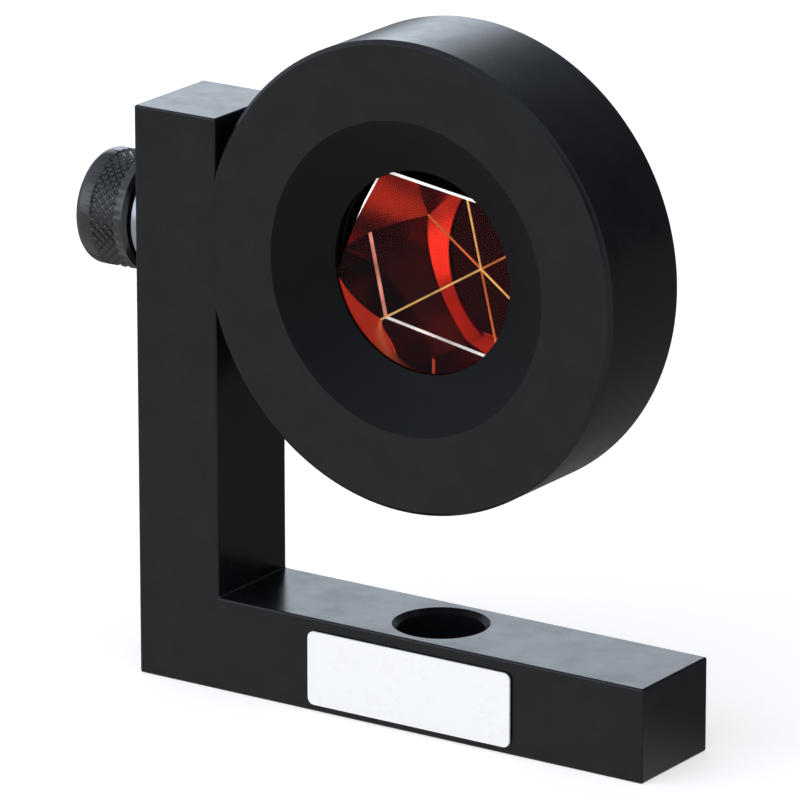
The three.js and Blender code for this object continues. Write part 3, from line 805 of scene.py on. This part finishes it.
def make_cup():
    """The can behind the prism: its sleeve enters the cell and its flange takes four screws."""
    wall_r, sleeve_r, can_r, flange_r = 13 * MM, 14.6 * MM, 15.5 * MM, 20.6 * MM
    hole_r, counterbore_r, counterbore_depth = 1.25 * MM, 2.05 * MM, 0.9 * MM
    low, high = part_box("rear_cup")
    sleeve, end = low.y - HOUSING_FRONT.y, high.y - HOUSING_FRONT.y
    flange = HOUSING_DEPTH + GAP
    flange_end = flange + 2 * MM
    floor = end - 1.4 * MM
    profile = [(wall_r, sleeve), (sleeve_r, sleeve), (sleeve_r, flange), (flange_r, flange),
               (flange_r, flange_end), (can_r, flange_end), (can_r, end), (0, end), (0, floor),
               (wall_r, floor)]
    fillets = {0: 0.15 * MM, 1: 0.2 * MM, 3: 0.15 * MM, 4: 0.4 * MM, 5: 0.3 * MM, 6: 2 * MM, 9: 0.2 * MM}
    points = rounded(profile, fillets, 6)
    seam = points.index((0, floor))
    cup = turned("prism_cup", points[seam:] + points[:seam], HOUSING_FRONT, "y", 192)
    seat = flange_end - counterbore_depth
    for node in CUP_SCREWS:
        low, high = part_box(node)
        centre = Vector(((low.x + high.x) / 2, HOUSING_FRONT.y, (low.z + high.z) / 2))
        hole = [(0, flange - PAST), (hole_r, flange - PAST), (hole_r, seat), (counterbore_r, seat),
                (counterbore_r, flange_end + PAST), (0, flange_end + PAST)]
        cut(cup, turned("cutter", hole, centre, "y", segments=40))
    return smooth(cup)


front_ring = make_seal("front_ring", 13.95 * MM, 5.4 * MM, 0.6 * MM)
place(front_ring, "prism_head", ["glass_seal"], RUBBER)
back_ring = make_seal("back_ring", 16.3 * MM, HOUSING_DEPTH - 0.4 * MM, 0.4 * MM)
place(back_ring, "prism_head", ["rear_seal"], RUBBER)
place(make_cup(), "prism_head", ["rear_cup"], ANODISED)
for k, node in enumerate(CUP_SCREWS):
    head = (1.75 * MM, 1.3 * MM, 0.3 * MM)
    screw = make_small_screw(f"cap_screw_{k + 1}", node, head, 0.95 * MM, 0.85 * MM, 0.8 * MM)
    place(screw, "prism_head", [node], DARK_STEEL)


# ---------------------------------------------------------------- camera, floor and light

CAMERA_AZIMUTH = math.radians(33.97)
CAMERA_ELEVATION = math.radians(17.03)
CAMERA_ROLL = math.radians(-0.042)
CAMERA_DISTANCE = 0.8947
CAMERA_LENS = 337.5
CAMERA_AIM = BAR_LOW + Vector((38.776 * MM, 0, 41.802 * MM))

# The floor is one shader for the camera and another for what the object reflects, which is
# darker behind the object (BACK) than in front of it (FRONT).
FLOOR_SIZE = 6
FLOOR_WHITE = (0.8, 0.75, 0.71, 1)
FLOOR_LIFT = 0.52
FLOOR_FRONT = 0.82
FLOOR_BACK = 0.19
FLOOR_FADE = (-0.02, 0.015)

# The room as the object sees it. Directions point away from the object, and limits are cosines
# from them; BACK_TO_FRONT is from the direction straight behind.
BACKLIGHT = Vector((-0.53, 0.80, 0.277)).normalized()
BACKLIGHT_STRENGTH = 2.6
BACKLIGHT_SHAPE = [(0.0, 0.0), (0.46, 0.02), (0.70, 0.06), (0.914, 0.12), (0.966, 0.24), (0.995, 1.0)]
FRONT_STRENGTH = 1.0
BACK_STRENGTH = 0.05
BACK_TO_FRONT = (0.6, -0.2)
ROOM_TINT = (0.9, 1.0, 1.12, 1)
VIEWER = Vector((0.53, -0.80, 0.277)).normalized()
VIEWER_LIMITS = (0.9, 0.97)
VIEWER_DARK = 0.03
KEY = Vector((-0.53, -0.79, 0.3)).normalized()
KEY_LIMITS = (0.86, 0.99)
KEY_STRENGTH = 1.6


def make_camera():
    a, e = CAMERA_AZIMUTH, CAMERA_ELEVATION
    back = Vector((math.sin(a) * math.cos(e), -math.cos(a) * math.cos(e), math.sin(e)))
    data = bpy.data.cameras.new("camera")
    data.lens = CAMERA_LENS
    data.sensor_width = 36
    data.clip_start = 0.01
    data.clip_end = 50
    camera = new_object("camera", data)
    camera.rotation_mode = "QUATERNION"
    camera.location = CAMERA_AIM + back * CAMERA_DISTANCE
    turn = Quaternion(back, CAMERA_ROLL)
    camera.rotation_quaternion = turn @ (-back).to_track_quat("-Z", "Y")
    bpy.context.scene.camera = camera


def seen_by_camera(tree, seen, unseen):
    """Picks one shader for what the camera sees, and another for what the object sees."""
    path = tree.nodes.new("ShaderNodeLightPath")
    mix = tree.nodes.new("ShaderNodeMixShader")
    tree.links.new(path.outputs["Is Camera Ray"], mix.inputs["Fac"])
    tree.links.new(unseen, mix.inputs[1])
    tree.links.new(seen, mix.inputs[2])
    return mix.outputs[0]


def make_floor():
    build = bmesh.new()
    bmesh.ops.create_grid(build, x_segments=1, y_segments=1, size=FLOOR_SIZE)
    floor = built("floor", build)
    material, tree, shader = new_material("pale_floor")
    shader.inputs["Base Color"].default_value = FLOOR_WHITE
    shader.inputs["Roughness"].default_value = 0.9
    shader.inputs["Specular IOR Level"].default_value = 0
    shader.inputs["Emission Color"].default_value = (1, 1, 1, 1)
    shader.inputs["Emission Strength"].default_value = FLOOR_LIFT
    reflected = tree.nodes.new("ShaderNodeEmission")
    coordinates = tree.nodes.new("ShaderNodeTexCoord")
    split = tree.nodes.new("ShaderNodeSeparateXYZ")
    tree.links.new(coordinates.outputs["Object"], split.inputs[0])
    fade = smoothstep(tree, split.outputs["Y"], FLOOR_FADE, (FLOOR_FRONT, FLOOR_BACK))
    tree.links.new(fade, reflected.inputs["Strength"])
    chosen = seen_by_camera(tree, shader.outputs[0], reflected.outputs[0])
    tree.links.new(chosen, tree.nodes["Material Output"].inputs["Surface"])
    floor.data.materials.append(material)


def blend_values(tree, operation, first, second):
    node = tree.nodes.new("ShaderNodeMath")
    node.operation = operation
    tree.links.new(first, node.inputs[0])
    if isinstance(second, float):
        node.inputs[1].default_value = second
    else:
        tree.links.new(second, node.inputs[1])
    return node.outputs[0]


def towards(tree, direction, centre):
    """The cosine of the angle between a direction and the centre of something in the room."""
    aim = tree.nodes.new("ShaderNodeVectorMath")
    aim.operation = "DOT_PRODUCT"
    aim.inputs[1].default_value = centre
    tree.links.new(direction, aim.inputs[0])
    return aim.outputs["Value"]


def make_world():
    """A white room: even light from the front, a bright sheet behind on the left, dim behind on
    the right, a key light in front on the left and a dark patch where the viewer stands."""
    world = bpy.data.worlds.new("studio")
    bpy.context.scene.world = world
    world.use_nodes = True
    tree = world.node_tree
    background = tree.nodes["Background"]
    direction = tree.nodes.new("ShaderNodeTexCoord").outputs["Generated"]
    shape = tree.nodes.new("ShaderNodeValToRGB")
    for i, (position, value) in enumerate(BACKLIGHT_SHAPE):
        points = shape.color_ramp.elements
        point = points[i] if i < 2 else points.new(position)
        point.position = position
        point.color = (value, value, value, 1)
    tree.links.new(towards(tree, direction, BACKLIGHT), shape.inputs["Fac"])
    split = tree.nodes.new("ShaderNodeSeparateXYZ")
    tree.links.new(direction, split.inputs[0])
    front = smoothstep(tree, split.outputs["Y"], BACK_TO_FRONT, (BACK_STRENGTH, FRONT_STRENGTH))
    key = smoothstep(tree, towards(tree, direction, KEY), KEY_LIMITS, (0, KEY_STRENGTH))
    viewer = smoothstep(tree, towards(tree, direction, VIEWER), VIEWER_LIMITS, (1, VIEWER_DARK))
    backlight = blend_values(tree, "MULTIPLY", shape.outputs["Color"], BACKLIGHT_STRENGTH)
    total = blend_values(tree, "ADD", backlight, front)
    total = blend_values(tree, "ADD", total, key)
    tree.links.new(blend_values(tree, "MULTIPLY", total, viewer), background.inputs["Strength"])
    background.inputs["Color"].default_value = ROOM_TINT
    plain_white = tree.nodes.new("ShaderNodeBackground")
    plain_white.inputs["Color"].default_value = (1, 1, 1, 1)
    chosen = seen_by_camera(tree, plain_white.outputs[0], background.outputs[0])
    tree.links.new(chosen, tree.nodes["World Output"].inputs["Surface"])


make_camera()
make_floor()
make_world()
bpy.context.scene.view_settings.view_transform = "Standard"
